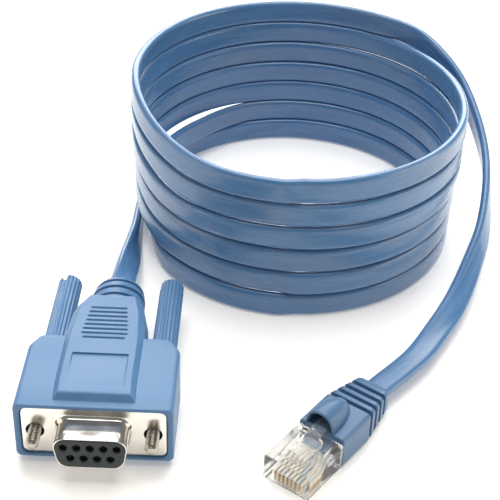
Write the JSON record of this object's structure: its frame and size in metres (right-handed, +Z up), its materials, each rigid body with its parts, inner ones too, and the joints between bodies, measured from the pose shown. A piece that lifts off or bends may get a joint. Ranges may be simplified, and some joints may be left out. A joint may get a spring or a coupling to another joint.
{
  "type": "network console cable",
  "caption": "Flat blue console cable with a nine-way D-sub connector in a moulded hood, a standing coil, and a modular plug in a snagless boot.",
  "frame": {"origin": "on the surface the part stands on, under the middle of the D-sub connector", "axes": "+Y along the D-sub connector from its mating face to the cable, +Z up through its thickness, +X to the right seen from behind the mating face"},
  "size_m": [0.1141, 0.1591, 0.0444],
  "materials": {
    "moulded_blue": "satin moulded",
    "cable_jacket": "glossy extruded",
    "nickel_shell": "bright nickel plate",
    "screw_steel": "plated",
    "gold_contact": "gold plated",
    "insulator": "matte moulded",
    "clear_plug": "clear moulded"
  },
  "bodies": {
    "connector_and_cable": {"connector_hood": "moulded_blue", "connector_front_shell": "nickel_shell", "connector_insulator": "insulator", "socket_contact_1": "gold_contact", "socket_contact_2": "gold_contact", "socket_contact_3": "gold_contact", "socket_contact_4": "gold_contact", "socket_contact_5": "gold_contact", "socket_contact_6": "gold_contact", "socket_contact_7": "gold_contact", "socket_contact_8": "gold_contact", "socket_contact_9": "gold_contact", "cable_coil": "cable_jacket", "cable_lead_connector": "cable_jacket", "cable_lead_plug": "cable_jacket", "plug_body": "clear_plug", "plug_contact_1": "gold_contact", "plug_contact_2": "gold_contact", "plug_contact_3": "gold_contact", "plug_contact_4": "gold_contact", "plug_contact_5": "gold_contact", "plug_contact_6": "gold_contact", "plug_contact_7": "gold_contact", "plug_contact_8": "gold_contact", "plug_boot": "moulded_blue"},
    "left_thumbscrew": {"jackscrew_left": "screw_steel", "thumbscrew_grip_left": "moulded_blue"},
    "right_thumbscrew": {"jackscrew_right": "screw_steel", "thumbscrew_grip_right": "moulded_blue"}
  },
  "joints": [
    {"name": "left_thumbscrew_turn", "type": "hinge", "parent": "connector_and_cable", "child": "left_thumbscrew", "pos_m": [-0.01249, 0, 0.00865], "axis": [0, 1, 0], "continuous": true},
    {"name": "right_thumbscrew_turn", "type": "hinge", "parent": "connector_and_cable", "child": "right_thumbscrew", "pos_m": [0.01249, 0, 0.00865], "axis": [0, 1, 0], "continuous": true}
  ]
}
